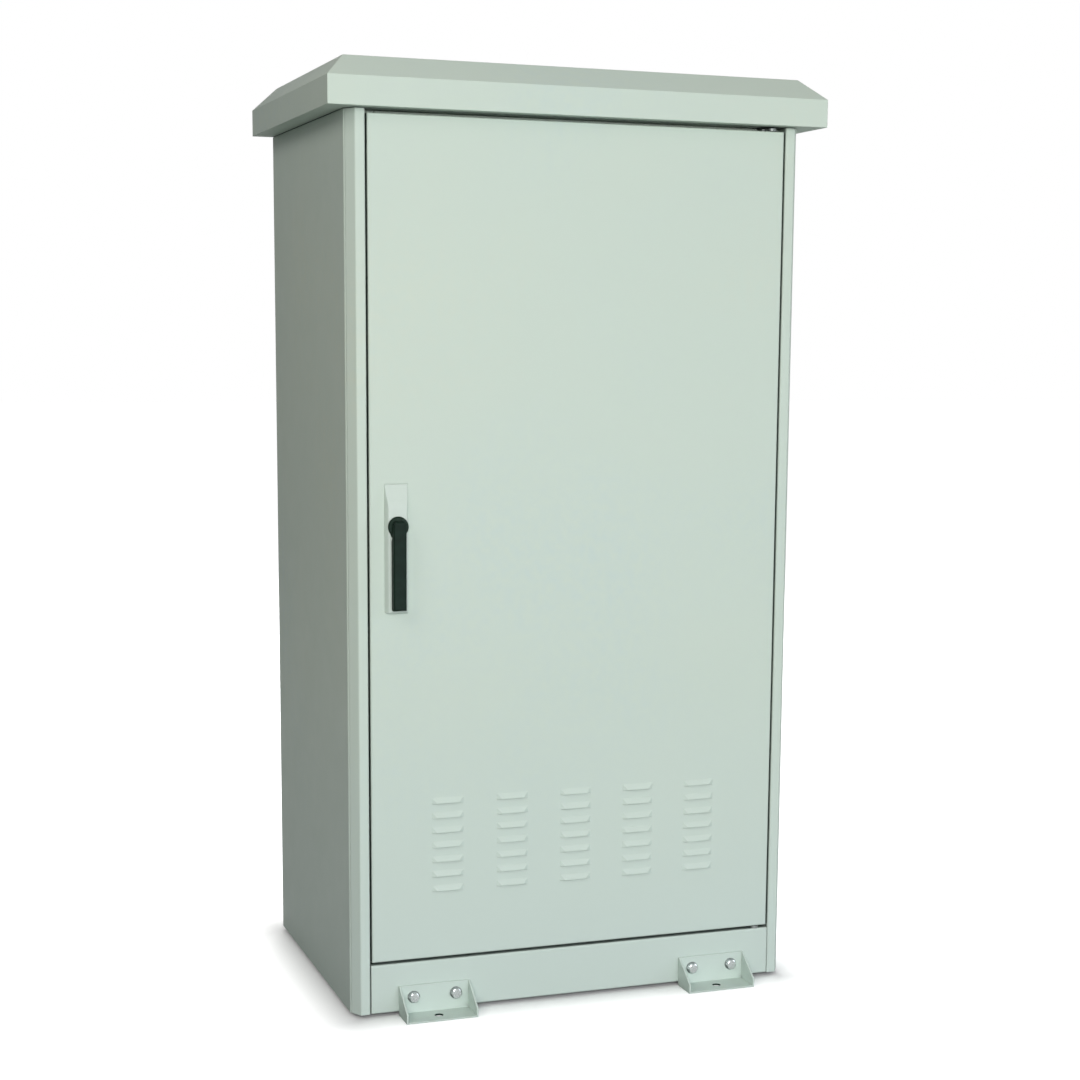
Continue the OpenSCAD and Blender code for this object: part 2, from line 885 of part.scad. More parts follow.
module rack_rail_front_left() {
    color(galvanised) rack_rail();
}

module rack_rail_front_right() {
    color(galvanised) other_side() rack_rail();
}

module rack_rail_rear_left() {
    color(galvanised) mirror([0, 1, 0]) rack_rail();
}

module rack_rail_rear_right() {
    color(galvanised) rotate([0, 0, 180]) rack_rail();
}

// Fans

module fan_frame(x) {
    translate([x, 0, fan_z]) {
        difference() {
            translate([-fan_w / 2, -fan_w / 2, 0]) cube([fan_w, fan_w, fan_d]);
            translate([0, 0, -overrun]) cylinder(r = fan_bore_r, h = fan_d + 2 * overrun);
        }
        cylinder(r = hub_r, h = motor_h);
        for (a = [45:90:315]) rotate([0, 0, a]) translate([0, -strut_w / 2, 0])
            cube([fan_bore_r + overrun, strut_w, strut_w]);
        cylinder(r = fan_pin_r, h = fan_d / 2);
    }
}

module fan_frame_left() {
    color(black) fan_frame(-fan_x);
}

module fan_frame_right() {
    color(black) fan_frame(fan_x);
}

module fan_rotor(x) {
    rotor_z = motor_h + handle_gap;
    rotor_h = fan_d - rotor_z - fan_tip_gap;
    chord = (rotor_h - 2 * blade_t) / sin(blade_pitch);
    root_r = hub_r - 2 * blade_t;
    translate([x, 0, fan_z + rotor_z]) difference() {
        union() {
            cylinder(r = hub_r, h = rotor_h);
            intersection() {
                cylinder(r = fan_tip_r, h = rotor_h);
                for (i = [0:blades - 1]) rotate([0, 0, 360 * i / blades])
                    translate([root_r, 0, rotor_h / 2]) rotate([blade_pitch, 0, 0])
                        translate([0, -chord / 2, -blade_t / 2]) cube([fan_tip_r - root_r, chord, blade_t]);
            }
        }
        translate([0, 0, -overrun]) cylinder(r = fan_pin_r + pin_play, h = fan_d / 2);
    }
}

module fan_rotor_left() {
    color(black) fan_rotor(-fan_x);
}

module fan_rotor_right() {
    color(black) fan_rotor(fan_x);
}

module fan_guards() {
    step = fan_bore_r / guard_rings;
    color(zinc) for (s = bracket_sides)
        translate([s * fan_x, 0, fan_z - guard_t]) linear_extrude(guard_t) {
            for (k = [1:guard_rings]) difference() {
                circle(r = k * step);
                circle(r = k * step - guard_bar);
            }
            for (a = [45, 135]) rotate([0, 0, a])
                square([2 * fan_bore_r + 2 * guard_bar, guard_bar], center = true);
        }
}

// Anchor brackets

module bracket() {
    sheet = [[-bracket_d, 0], [0, 0], [0, bracket_h]];
    gusset = [
        [-bracket_fold, 0],
        [-bracket_d, 0],
        [-bracket_d, bracket_nose],
        [-bracket_t, bracket_h],
        [0, bracket_h],
        [0, bracket_fold]
    ];
    translate([bracket_x, front_y, 0]) difference() {
        union() {
            translate([-bracket_w / 2, 0, 0])
                along_x(bracket_w) polygon(sheet_outline(sheet, bracket_t, bracket_fold));
            for (x = [-bracket_w / 2, bracket_w / 2 - bracket_t])
                translate([x, 0, 0]) along_x(bracket_t) polygon(gusset);
        }
        for (b = bracket_sides) translate([b * bolt_spacing / 2, -bracket_t - overrun, bolt_z])
            rod_y(bolt_hole_r, bracket_t + 2 * overrun);
        translate([0, -anchor_out, -overrun]) cylinder(r = anchor_r, h = bracket_t + 2 * overrun);
    }
}

module bracket_front_left() {
    color(paint) other_side() bracket();
}

module bracket_front_right() {
    color(paint) bracket();
}

module bracket_rear_left() {
    color(paint) rotate([0, 0, 180]) bracket();
}

module bracket_rear_right() {
    color(paint) mirror([0, 1, 0]) bracket();
}

// Hexagon of height h along Y, with its crown at y = 0 turned to a cone
module hexagon(h) {
    crown_r = crown_share * bolt_af / 2;
    intersection() {
        rod_y(bolt_af / 2 / cos(30), h, 6);
        rotate([-90, 0, 0]) cylinder(r1 = crown_r, r2 = crown_r + h / tan(30), h = h);
    }
}

module bracket_bolts() {
    head_y = -bracket_t - washer_t;
    color(zinc) at_bracket_bolts() {
        translate([0, head_y - bolt_head, 0]) hexagon(bolt_head);
        translate([0, head_y, 0]) rod_y(bolt_r, sheet_t + nut_h + bolt_tail - head_y);
    }
}

module bracket_washers() {
    color(zinc) at_bracket_bolts() translate([0, -bracket_t - washer_t, 0]) difference() {
        rod_y(washer_r, washer_t);
        translate([0, -overrun, 0]) rod_y(bolt_hole_r, washer_t + 2 * overrun);
    }
}

module bracket_nuts() {
    color(zinc) at_bracket_bolts() translate([0, sheet_t, 0]) difference() {
        translate([0, nut_h, 0]) mirror([0, 1, 0]) hexagon(nut_h);
        translate([0, -overrun, 0]) rod_y(bolt_r + pin_play, nut_h + 2 * overrun);
    }
}

// Hinges

// Rounded plate round the pivot that reaches back to depth d behind the door face
module hinge_plate(d) {
    linear_extrude(hinge_t) difference() {
        union() {
            translate([hinge_x, hinge_y]) circle(r = 2 * pin_r);
            translate([hinge_x - 2 * pin_r, hinge_y]) square([4 * pin_r, hinge_w / 2]);
            translate([hinge_x - hinge_w / 2, hinge_y + hinge_w / 3])
                square([hinge_w, front_y + d - hinge_y - hinge_w / 3]);
        }
        translate([hinge_x, hinge_y]) circle(r = pin_r + pin_play);
    }
}

module hinge_bracket_top() {
    leg_d = rebate_d + sheet_t;
    color(zinc) {
        translate([0, 0, hinge_top_z]) hinge_plate(leg_d + hinge_t);
        translate([hinge_x - hinge_w / 2, front_y + leg_d, head_z])
            cube([hinge_w, hinge_t, hinge_top_z - head_z]);
    }
}

module hinge_bracket_bottom() {
    color(zinc) translate([0, 0, sill_z]) hinge_plate(rebate_d - fold_r);
}

module hinge_pin_top() {
    low_z = door_top - bush_l;
    color(zinc) translate([hinge_x, hinge_y, low_z])
        cylinder(r = pin_r, h = hinge_top_z + hinge_t - low_z);
}

module hinge_pin_bottom() {
    color(zinc) translate([hinge_x, hinge_y, sill_z])
        cylinder(r = pin_r, h = sill_gap + bush_l);
}

module hinge_bush() {
    rotate_extrude() polygon([
        [pin_r + pin_play, -bush_flange_t],
        [bush_flange_r, -bush_flange_t],
        [bush_flange_r, 0],
        [bush_r, 0],
        [bush_r, bush_l],
        [pin_r + pin_play, bush_l]
    ]);
}

module hinge_bushes() {
    color(black) {
        translate([hinge_x, hinge_y, door_z]) hinge_bush();
        translate([hinge_x, hinge_y, door_top]) mirror([0, 0, 1]) hinge_bush();
    }
}

// Door

// Folded pan with rounded outer edges
module door_pan() {
    plan = rounded([
        [door_left, front_y + door_depth],
        [door_left, front_y],
        [door_right, front_y],
        [door_right, front_y + door_depth]
    ], fold_r);
    side = rounded([
        [front_y + door_depth, door_z],
        [front_y, door_z],
        [front_y, door_top],
        [front_y + door_depth, door_top]
    ], fold_r);
    difference() {
        intersection() {
            translate([0, 0, door_z]) linear_extrude(door_h) polygon(plan);
            translate([door_left, 0, 0]) along_x(door_w) polygon(side);
        }
        translate([door_left + sheet_t, front_y + sheet_t, door_z + sheet_t])
            cube([door_w - 2 * sheet_t, door_depth - 2 * sheet_t, door_h - 2 * sheet_t]);
        translate([door_left + return_lock, front_y + door_depth / 2, door_z + return_end])
            cube([door_w - return_lock - return_hinge, door_depth, door_h - 2 * return_end]);
    }
}

// Places of the louvres, at the middle of each mouth on the door face
module at_louvres() {
    for (c = [0:louvre_cols - 1])
        for (r = [0:louvre_rows - 1])
            translate([
                field_shift + (c - (louvre_cols - 1) / 2) * louvre_pitch_x,
                front_y,
                field_z + r * louvre_pitch_z
            ])
                children();
}

// Wedge of a louvre: its mouth faces down, and it ends inside the door at depth d
module louvre_form(l, h, out, end, low, d) {
    intersection() {
        translate([-l / 2, 0, 0]) along_x(l) polygon([
            [d, 0],
            [0, 0],
            [0, low],
            [-out, low],
            [-out, louvre_lip],
            [0, h],
            [d, h]
        ]);
        translate([0, 0, low]) linear_extrude(h - low) polygon([
            [-l / 2, d],
            [-l / 2, 0],
            [end - l / 2, -out],
            [l / 2 - end, -out],
            [l / 2, 0],
            [l / 2, d]
        ]);
    }
}

module door_panel() {
    inner_out = louvre_out - louvre_t;
    end_wall = louvre_t * norm([louvre_end, louvre_out]) / louvre_out;
    color(paint) difference() {
        union() {
            door_pan();
            at_louvres() louvre_form(louvre_l, louvre_h, louvre_out, louvre_end, 0, sheet_t / 2);
        }
        at_louvres() louvre_form(
            louvre_l - 2 * end_wall,
            louvre_h - louvre_t,
            inner_out,
            louvre_end * inner_out / louvre_out,
            -overrun,
            sheet_t + overrun
        );
        translate([lock_x, front_y - overrun, lock_z]) rod_y(spindle_r + overrun, sheet_t + 2 * overrun);
        for (z = [door_z, door_top]) translate([hinge_x, hinge_y, z - sheet_t - overrun])
            cylinder(r = bush_r + pin_play, h = 2 * (sheet_t + overrun));
    }
}

module door_gasket() {
    left = door_left + gasket_lock;
    right = door_right - gasket_hinge;
    low = door_z + gasket_end;
    high = door_top - gasket_end;
    color(foam) translate([0, front_y + door_depth, 0])
        along_y(rebate_d - door_depth - gasket_gap) difference() {
            translate([left, low]) square([right - left, high - low]);
            translate([left + gasket_w, low + gasket_w])
                square([right - left - 2 * gasket_w, high - low - 2 * gasket_w]);
        }
}

module door_stiffener(x) {
    low = filter_z + filter_h + filter_margin;
    path = [
        [stiffener_w / 2, 0],
        [stiffener_w / 2, stiffener_d],
        [-stiffener_w / 2, stiffener_d],
        [-stiffener_w / 2, 0]
    ];
    translate([x, front_y + sheet_t, low]) linear_extrude(door_top - return_end - low)
        polygon(sheet_outline(path, sheet_t, fold_r));
}

module door_stiffener_left() {
    color(paint) door_stiffener(-stiffener_x);
}

module door_stiffener_right() {
    color(paint) door_stiffener(stiffener_x);
}

module filter_frame() {
    window_w = filter_w - 2 * filter_lip;
    window_h = filter_h - 2 * filter_lip;
    color(galvanised) translate([field_shift - filter_w / 2, front_y + sheet_t, filter_z]) difference() {
        cube([filter_w, filter_d, filter_h]);
        translate([sheet_t, -overrun, sheet_t])
            cube([filter_w - 2 * sheet_t, filter_d - sheet_t + overrun, filter_h - 2 * sheet_t]);
        translate([filter_lip, 0, filter_lip]) cube([window_w, filter_d + overrun, window_h]);
    }
}

module filter_pad() {
    edge = sheet_t + filter_play;
    color(foam) translate([field_shift + edge - filter_w / 2, front_y + edge, filter_z + edge])
        cube([filter_w - 2 * edge, filter_d - sheet_t - filter_play, filter_h - 2 * edge]);
}

// Lock and handle

module lock_housing() {
    half_w = housing_w / 2;
    plan = [
        [-half_w, 0],
        [-housing_face_w / 2, -housing_out],
        [housing_face_w / 2, -housing_out],
        [half_w, 0]
    ];
    foot = [0, -housing_low];
    chin = [-housing_out, housing_bow - housing_low];
    crest = [-housing_out, housing_top - housing_slope];
    head = [0, housing_top];
    side = concat(
        [foot],
        bend(foot, chin, crest, housing_round),
        bend(chin, crest, head, housing_crest),
        [head]
    );
    bow = [
        for (k = [-bow_steps:bow_steps])
            [half_w * k / bow_steps, housing_bow * pow(k / bow_steps, 2) - housing_low]
    ];
    front = concat(bow, [[half_w, housing_top + overrun], [-half_w, housing_top + overrun]]);
    color(paint) translate([lock_x, front_y, lock_z]) difference() {
        intersection() {
            translate([0, 0, -housing_low - overrun])
                linear_extrude(housing_low + housing_top + 2 * overrun)
                    polygon(rounded(plan, housing_round));
            translate([-housing_w, 0, 0]) along_x(2 * housing_w) polygon(side);
            translate([0, -housing_out - overrun, 0]) along_y(housing_out + 2 * overrun) polygon(front);
        }
        translate([0, -housing_out - overrun, 0]) rod_y(spindle_r + pin_play, housing_out + 2 * overrun);
    }
}

module lock_spindle() {
    shoulder = rod_setback - rod_play - sheet_t / 2;
    chin = [[-boss_r, 0], [-lever_w / 2, -boss_chin], [lever_w / 2, -boss_chin], [boss_r, 0]];
    color(black) translate([lock_x, front_y, lock_z]) difference() {
        union() {
            rotate([90, 0, 0]) rotate_extrude() polygon([
                [0, -case_d],
                [journal_r, -case_d],
                [journal_r, -shoulder],
                [spindle_r, -shoulder],
                [spindle_r, boss_back],
                [boss_r, boss_back],
                [boss_r, boss_front - boss_bevel],
                [boss_r - boss_bevel, boss_front],
                [0, boss_front]
            ]);
            translate([0, -boss_front + boss_bevel, 0]) along_y(boss_h - boss_bevel) polygon(chin);
            translate([-lug_w / 2, -knuckle_out, knuckle_z]) rotate([0, 90, 0])
                cylinder(r = lug_r, h = lug_w);
            translate([-lug_w / 2, -knuckle_out, knuckle_z - lug_r])
                cube([lug_w, knuckle_out - boss_back - boss_h / 2, 2 * lug_r]);
        }
        translate([-lug_w, -knuckle_out, knuckle_z]) rotate([0, 90, 0])
            cylinder(r = lever_pin_r + pin_play, h = 2 * lug_w);
    }
}

// Involute function of the pinion at radius r, in degrees
function involute(r) = let (a = acos(min(gear_base_r / r, 1))) tan(a) * 180 / PI - a;

// Half angle of a pinion tooth at radius r
function half_tooth(r) =
    (tooth_pitch - gear_backlash) / 4 / pitch_r * 180 / PI + involute(pitch_r) - involute(r);

// Point at radius r and angle a
function polar(r, a) = [r * cos(a), r * sin(a)];

// Radii of the points along a tooth flank
flank_radii = [for (k = [0:flank_steps]) gear_base_r + (gear_tip_r - gear_base_r) * k / flank_steps];

function pinion_tooth(a) = concat(
    [polar(gear_root_r, a - half_tooth(gear_base_r))],
    [for (k = [0:flank_steps]) polar(flank_radii[k], a - half_tooth(flank_radii[k]))],
    [for (k = [flank_steps:-1:0]) polar(flank_radii[k], a + half_tooth(flank_radii[k]))],
    [polar(gear_root_r, a + half_tooth(gear_base_r))]
);

module drive_pinion() {
    color(zinc) translate([lock_x, front_y + rod_setback - rod_play, lock_z])
        along_y(pinion_w) difference() {
            polygon([for (i = [0:gear_teeth - 1]) each pinion_tooth(360 * i / gear_teeth)]);
            circle(r = journal_r + pin_play);
        }
}

module lock_case() {
    wall = sheet_t;
    color(galvanised) translate([lock_x, front_y + sheet_t, lock_z]) difference() {
        translate([-case_in - wall, 0, -case_h]) cube([2 * (case_in + wall), case_d - sheet_t, 2 * case_h]);
        translate([-case_in, -overrun, -case_h - overrun])
            cube([2 * case_in, case_d - sheet_t - wall + overrun, 2 * (case_h + overrun)]);
        rod_y(journal_r + pin_play, case_d);
    }
}

module lever() {
    knuckle = [for (k = [0:knuckle_steps]) polar(knuckle_r, 180 - 180 * k / knuckle_steps)];
    face = concat(
        [
            [-lever_back, lever_chamfer - lever_l],
            [-lever_back - lever_chamfer / 2, -lever_l],
            [lever_chamfer - lever_front, -lever_l],
            [-lever_front, lever_chamfer - lever_l],
            [-lever_top, -knuckle_z]
        ],
        [for (p = knuckle) p + [-knuckle_out, knuckle_z]],
        [[knuckle_r - knuckle_out, -boss_chin], [-lever_back, -lever_step - lever_chamfer]]
    );
    section = [[-lever_w / 2, lever_top], [-lever_w / 2, 0], [lever_w / 2, 0], [lever_w / 2, lever_top]];
    color(black) translate([lock_x, front_y, lock_z]) difference() {
        intersection() {
            translate([-lever_w / 2, 0, 0]) along_x(lever_w) polygon(face);
            translate([0, -knuckle_out - 2 * knuckle_r, 0]) along_y(knuckle_out) union() {
                circle(r = lever_w / 2);
                translate([-lever_w / 2, -lever_l]) square([lever_w, lever_l]);
            }
            translate([0, -lever_top, -knuckle_z]) rotate([lever_lean, 0, 0])
                translate([0, 0, -lever_l]) linear_extrude(2 * lever_l) polygon(rounded(section, lever_round));
        }
        translate([-pocket_w / 2, -pocket_front, knuckle_z - knuckle_r])
            cube([pocket_w, pocket_front, lever_w]);
        translate([-lever_w, -knuckle_out, knuckle_z]) rotate([0, 90, 0])
            cylinder(r = lever_pin_r + pin_play / 2, h = 2 * lever_w);
    }
}

module lever_pin() {
    pin_l = (lever_w + lug_w) / 2;
    color(zinc) translate([lock_x - pin_l / 2, front_y - knuckle_out, lock_z + knuckle_z])
        rotate([0, 90, 0]) cylinder(r = lever_pin_r, h = pin_l);
}

// Rack teeth first to last above the spindle, pointing to +X from their root line
module rack_teeth(first, last) {
    top = (tooth_pitch - gear_backlash) / 4 - gear_module * tan(gear_angle);
    foot = (tooth_pitch - gear_backlash) / 4 + gear_dedendum * tan(gear_angle);
    tall = gear_module + gear_dedendum;
    for (k = [first:last]) translate([0, 0, (k + 0.5) * tooth_pitch]) along_y(rod_t) polygon([
        [-rod_w / 2, -foot],
        [0, -foot],
        [tall, -top],
        [tall, top],
        [0, foot],
        [-rod_w / 2, foot]
    ]);
}

module upper_lock_rod() {
    tip_z = head_z - rod_tip_gap;
    face = rod_setback + rod_t;
    end_face = rod_end_setback + rod_t;
    path = [
        [face, lock_z - teeth_back * tooth_pitch],
        [face, tip_z - crank_tail - crank_h],
        [end_face, tip_z - crank_tail],
        [end_face, tip_z]
    ];
    color(zinc) {
        translate([lock_x - rod_off - rod_w / 2, front_y, 0])
            along_x(rod_w) polygon(sheet_outline(path, rod_t, rod_fold_r));
        translate([lock_x - rod_off + rod_w / 2, front_y + rod_setback, lock_z])
            rack_teeth(-teeth_back, teeth_ahead);
    }
}

module lower_lock_rod() {
    tip_z = seal_z + rod_tip_gap;
    path = [
        [rod_setback, lock_z + teeth_back * tooth_pitch],
        [rod_setback, tip_z + crank_tail + crank_h],
        [rod_end_setback, tip_z + crank_tail],
        [rod_end_setback, tip_z]
    ];
    color(zinc) {
        translate([lock_x + rod_off - rod_w / 2, front_y, 0])
            along_x(rod_w) polygon(sheet_outline(path, rod_t, rod_fold_r));
        translate([lock_x + rod_off - rod_w / 2, front_y + rod_setback, lock_z]) rotate([0, 180, 0])
            rack_teeth(-teeth_back, teeth_ahead);
    }
}

module rod_guide(x, z) {
    wall = sheet_t;
    pass_w = rod_w + 2 * rod_play;
    pass_d = rod_t + 2 * rod_play;
    block_w = pass_w + 4 * wall;
    block_d = rod_setback + rod_t + rod_play + wall - sheet_t;
    translate([x, front_y + sheet_t, z]) difference() {
        translate([-block_w / 2, 0, -block_w / 2]) cube([block_w, block_d, block_w]);
        translate([-pass_w / 2, rod_setback - rod_play - sheet_t, -block_w])
            cube([pass_w, pass_d, 2 * block_w]);
    }
}

module rod_guides() {
    up = head_z - crank_tail - crank_h - lock_z;
    down = lock_z - seal_z - crank_tail - crank_h;
    color(black) for (s = guide_shares) {
        rod_guide(lock_x - rod_off, lock_z + s * up);
        rod_guide(lock_x + rod_off, lock_z - s * down);
    }
}

post_front_left();
post_front_right();
post_rear_left();
post_rear_right();
head_rail_front();
head_rail_rear();
head_rail_left();
head_rail_right();
base_rail_front();
base_rail_rear();
base_rail_left();
base_rail_right();
base_plate();
cable_grommets();
ceiling_plate();
roof_cap();
roof_bolts();
side_panel_left();
side_panel_right();
rear_panel();
rear_panel_screws();
rack_rail_front_left();
rack_rail_front_right();
rack_rail_rear_left();
rack_rail_rear_right();
fan_frame_left();
fan_frame_right();
fan_guards();
fan_rotor_left();
fan_rotor_right();
bracket_front_left();
bracket_front_right();
bracket_rear_left();
bracket_rear_right();
bracket_bolts();
bracket_washers();
bracket_nuts();
hinge_bracket_top();
hinge_bracket_bottom();
hinge_pin_top();
hinge_pin_bottom();
hinge_bushes();
door_panel();
door_gasket();
door_stiffener_left();
door_stiffener_right();
filter_frame();
filter_pad();
lock_housing();
lock_case();
rod_guides();
lock_spindle();
drive_pinion();
lever();
lever_pin();
upper_lock_rod();
lower_lock_rod();
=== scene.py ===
import json
import math
import random

import bmesh
import bpy
from mathutils import Matrix, Vector


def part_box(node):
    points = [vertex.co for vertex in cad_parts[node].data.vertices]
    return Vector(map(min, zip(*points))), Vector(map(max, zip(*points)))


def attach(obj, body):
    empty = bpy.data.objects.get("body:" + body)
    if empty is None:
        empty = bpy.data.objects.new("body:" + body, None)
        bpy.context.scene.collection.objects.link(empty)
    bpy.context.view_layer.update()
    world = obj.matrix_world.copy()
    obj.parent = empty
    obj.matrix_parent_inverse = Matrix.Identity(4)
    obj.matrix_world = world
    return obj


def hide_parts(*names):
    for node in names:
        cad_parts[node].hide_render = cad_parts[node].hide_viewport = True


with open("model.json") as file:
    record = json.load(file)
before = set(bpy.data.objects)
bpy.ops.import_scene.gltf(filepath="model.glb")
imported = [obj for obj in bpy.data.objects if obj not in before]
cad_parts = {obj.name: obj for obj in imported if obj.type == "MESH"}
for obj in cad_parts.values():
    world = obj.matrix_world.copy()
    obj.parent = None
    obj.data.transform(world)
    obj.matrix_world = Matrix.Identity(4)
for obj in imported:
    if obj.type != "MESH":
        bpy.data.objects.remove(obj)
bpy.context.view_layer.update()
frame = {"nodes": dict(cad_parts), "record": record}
NODES = frame["nodes"]
SLOTS = {part["node"]: part["material_slot"] for part in frame["record"]["subparts"]}
SCENE = bpy.context.scene
WHITE = (1.0, 1.0, 1.0)

# Camera solved from the photograph: metres and degrees in the part's own frame
CAMERA_AT = (-1.1951, -3.5517, 1.1525)
CAMERA_TURN = 20.2987
CAMERA_DOWN = 8.6869
CAMERA_ROLL = 0.553
LENS = 68.375
SENSOR = 36.0
SHIFT = (-0.0425, 0.0996)
FAR_CLIP = 100.0

# Soft lamps as name, place, aim, size, power and tint
WARM_LAMP = (1.0, 0.98, 0.93)
COOL_LAMP = (0.92, 1.0, 1.10)
LAMPS = (
    ("key", (0.35, -4.60, 1.30), (0.0, 0.0, 0.80), (2.4, 1.6), 37.0, WHITE),
    ("left", (-2.20, -6.60, 2.50), (0.0, 0.0, 0.80), (2.4, 2.4), 205.0, WHITE),
    ("high_left", (-3.20, -2.60, 3.60), (0.0, 0.0, 1.10), (1.8, 1.8), 44.0, WARM_LAMP),
    ("low_front", (0.60, -3.40, 0.35), (0.0, 0.0, 0.15), (2.0, 0.5), 13.0, COOL_LAMP),
    ("top", (0.0, -0.40, 4.60), (0.0, 0.0, 1.50), (2.6, 2.6), 6.0, WHITE),
    ("right", (4.20, -2.60, 1.50), (0.3, 0.0, 0.80), (2.0, 2.4), 37.0, COOL_LAMP),
    ("far_right", (4.80, 2.20, 2.40), (0.3, 0.0, 0.80), (2.4, 2.4), 90.0, WHITE),
    ("back", (0.90, 5.00, 3.00), (0.0, 0.2, 0.90), (2.4, 2.4), 115.0, WHITE),
)
# Lamps that aren't mirrored in gloss, because they would glare on the roof's slopes
NO_GLOSS = ("far_right", "back")

# Even light from all round, and the share of the white background that gloss mirrors
AMBIENT = 0.10
GLOSS_SHARE = 0.3

# Floor: half its side, its colour as a source of light and the strength of its own white, which
# is nothing within half a width and half a depth round the object's foot and grows from there, so
# painting a shadow round the foot
FLOOR_HALF = 30.0
FLOOR_BOUNCE = (0.19, 0.21, 0.20)
FLOOR_GLOW = 0.92
FLOOR_SHADOW_HALF = (0.39, 0.29)
FLOOR_SHADOW_FADE = 0.11

# Gasket bead in metres: its width, corners, step along it and uneven height
GASKET_W = 0.012
GASKET_CORNER = 0.016
GASKET_STEP = 0.010
BEAD_WAVE = 0.0004
BEAD_SEED = 7
# Share of the bead's height at which its dome starts, and the dome's step in degrees
DOME_FROM = 0.34
DOME_STEP = 20
# Dip where the bead's ends meet
JOINT_DIP = 0.0022
JOINT_REACH = 0.009
# Steps round a corner of the bead
CORNER_STEPS = 6

# Filter pad in metres: step of its mesh, width and depth of its pinched rim, depth of its tufts
PAD_STEP = 0.007
PAD_RIM = 0.012
PAD_PINCH = 0.0016
PAD_TUFT = 0.0009
PAD_SEED = 11

# Rounding of edges in metres, by node, and how it is made
BRACKETS = tuple(f"bracket_{end}_{side}" for end in ("front", "rear") for side in ("left", "right"))
EDGES = {"roof_cap": 0.0012, "lever": 0.0006, "lock_spindle": 0.0006}
EDGES.update(dict.fromkeys(BRACKETS, 0.0006))
EDGE_SEGMENTS = 2
EDGE_ANGLE = 30.0
WELD_WITHIN = 1e-6

# Heights between which the paint turns to its bluer colour at the foot, a painted cool light
# bounced from the floor
BOUNCE_TINT_FROM = 0.10
BOUNCE_TINT_TO = 0.55

# Anchor holes in plan, and the distances from their axes between which the painted shade on their
# walls ends
ANCHOR_AT = (0.258, 0.314)
ANCHOR_R = 0.007
HOLE_DARK = 1.03 * ANCHOR_R
HOLE_CLEAR = 1.12 * ANCHOR_R

# Radius over which painted edges look rounded, and how far the rounded normal agrees with the
# flat one where the paler edge, part wear and part painted highlight, is full and where it ends
EDGE_ROUND = 0.0014
EDGE_WEAR_AND_SHEEN_FULL = 0.75
EDGE_CLEAR = 0.99
EDGE_SAMPLES = 4

# Open share of a gap at which the painted shade is full and at which it ends
GAP_DARK = 0.06
GAP_CLEAR = 0.46
GAP_SAMPLES = 6

# Linear colours
PAINT = (0.600, 0.690, 0.605)
PAINT_WARM = (0.625, 0.695, 0.590)
PAINT_COOL = (0.575, 0.675, 0.620)
# Bluer paint standing in for cool light bounced from the floor: painted light at the foot and on
# the brackets
PAINT_FOOT_BOUNCE_TINT = (0.600, 0.695, 0.640)
# Paler edge colour: part wear, part painted highlight on edges
PAINT_EDGE_WEAR_AND_SHEEN = (0.680, 0.755, 0.680)
# Dark colour painted as shade in gaps and on the walls of the anchor holes
PAINTED_SHADE = (0.012, 0.030, 0.021)
CAST = (0.625, 0.705, 0.640)
HANDLE = (0.004, 0.013, 0.008)
# Lighter black for the boss: a painted highlight for the light its bevelled rim catches
BOSS_LIT = (0.010, 0.023, 0.015)
ZINC = (0.84, 0.87, 0.87)
DULL_ZINC = (0.30, 0.32, 0.31)
# Dark zinc for the washers: painted shade for the shaded ring round each bolt head
ZINC_WASHER_SHADE = (0.24, 0.27, 0.26)
GALVANISED = (0.31, 0.325, 0.335)
PLASTIC = (0.030, 0.031, 0.032)
ROTOR = (0.095, 0.098, 0.100)
RUBBER = (0.020, 0.021, 0.021)
FOAM = (0.045, 0.048, 0.046)
FIBRE = (0.085, 0.090, 0.083)

# Strength of the mirror on coats, where it isn't the shader's own
PAINT_SPECULAR = 0.2
BLACK_SPECULAR = 0.12


def shade(color, k):
    """A colour made darker or lighter."""
    return tuple(k * c for c in color)


def material(name):
    """A new node material: itself, its tree, its shader and a coordinate output in metres."""
    mat = bpy.data.materials.new(name)
    mat.use_nodes = True
    tree = mat.node_tree
    shader = tree.nodes["Principled BSDF"]
    coord = tree.nodes.new("ShaderNodeTexCoord")
    return mat, tree, shader, coord.outputs["Object"]


def noise(tree, coord, scale, detail, rough=0.5, stretch=None):
    """A noise texture over object coordinates, as its factor output."""
    node = tree.nodes.new("ShaderNodeTexNoise")
    node.inputs["Scale"].default_value = scale
    node.inputs["Detail"].default_value = detail
    node.inputs["Roughness"].default_value = rough
    if stretch:
        mapping = tree.nodes.new("ShaderNodeMapping")
        mapping.inputs["Scale"].default_value = stretch
        tree.links.new(coord, mapping.inputs["Vector"])
        coord = mapping.outputs["Vector"]
    tree.links.new(coord, node.inputs["Vector"])
    return node.outputs["Fac"]


def spread(tree, value, low, high, from_low=0.3, from_high=0.7):
    """A value moved from one range, by default that of a noise, to another."""
    node = tree.nodes.new("ShaderNodeMapRange")
    node.inputs["From Min"].default_value = from_low
    node.inputs["From Max"].default_value = from_high
    node.inputs["To Min"].default_value = low
    node.inputs["To Max"].default_value = high
    tree.links.new(value, node.inputs["Value"])
    return node.outputs["Result"]


def cloud(tree, coord, scale, detail=4.0):
    """Soft patches between 0 and 1."""
    return spread(tree, noise(tree, coord, scale, detail), 0.0, 1.0)


def mix(tree, factor, a, b):
    """A colour between a and b; each is a colour or an output."""
    node = tree.nodes.new("ShaderNodeMix")
    node.data_type = "RGBA"
    tree.links.new(factor, node.inputs["Factor"])
    for key, value in (("A", a), ("B", b)):
        socket = next(s for s in node.inputs if s.name == key and s.type == "RGBA")
        if isinstance(value, tuple):
            socket.default_value = (*value, 1.0)
        else:
            tree.links.new(value, socket)
    return next(s for s in node.outputs if s.type == "RGBA")


